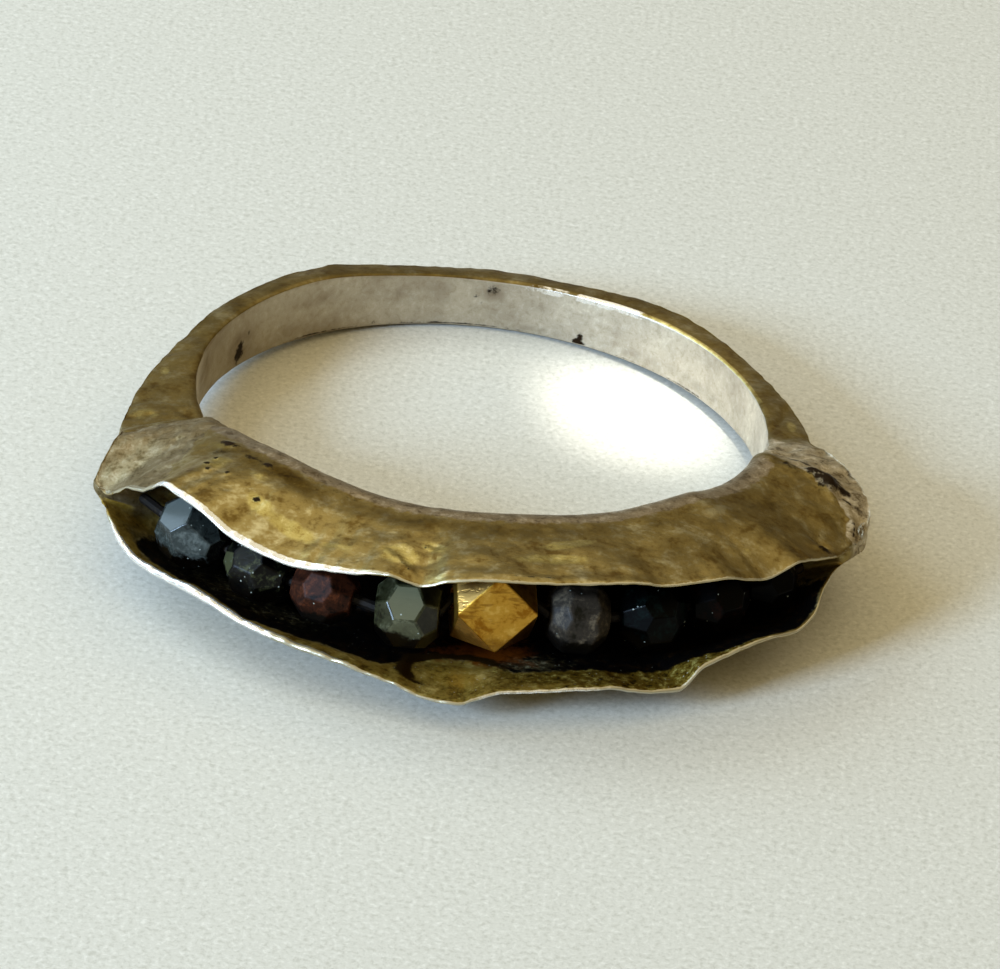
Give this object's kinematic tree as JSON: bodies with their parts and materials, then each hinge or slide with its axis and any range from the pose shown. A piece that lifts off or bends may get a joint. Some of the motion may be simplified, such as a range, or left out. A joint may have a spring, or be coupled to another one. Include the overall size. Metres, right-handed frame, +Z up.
{
  "type": "gemstone ring",
  "caption": "Hand-made tarnished silver finger ring lying on its side, with a crumpled open trough along the front that holds a row of drilled stone and gold beads on a wire.",
  "frame": {"origin": "middle of the ring's footprint, on the surface that it lies on", "axes": "+Z up, through the finger hole, which leans back by about 4 degrees; the trough and its beads face -Y; +X to the right"},
  "size_m": [0.0228, 0.0234, 0.0046],
  "materials": {
    "tarnished_silver": "hand-worked silver, golden brown patina outside, pale and worn inside the finger hole and on the edges",
    "wire": "blackened silver wire",
    "blue_stone": "polished, faceted",
    "dark_stone": "polished, faceted, with bright flecks",
    "red_stone": "polished, faceted",
    "green_stone": "polished, faceted",
    "gold": "worn and scratched gold",
    "grey_stone": "polished, mottled, weakly faceted",
    "black_stone": "polished, faceted"
  },
  "bodies": {
    "root": {"ring_body": "tarnished_silver", "bead_wire": "wire", "blue_bead": "blue_stone", "dark_bead": "dark_stone", "red_bead": "red_stone", "green_bead": "green_stone", "gold_bead": "gold", "grey_bead": "grey_stone", "black_bead_1": "black_stone", "black_bead_2": "black_stone", "black_bead_3": "black_stone"}
  },
  "joints": []
}
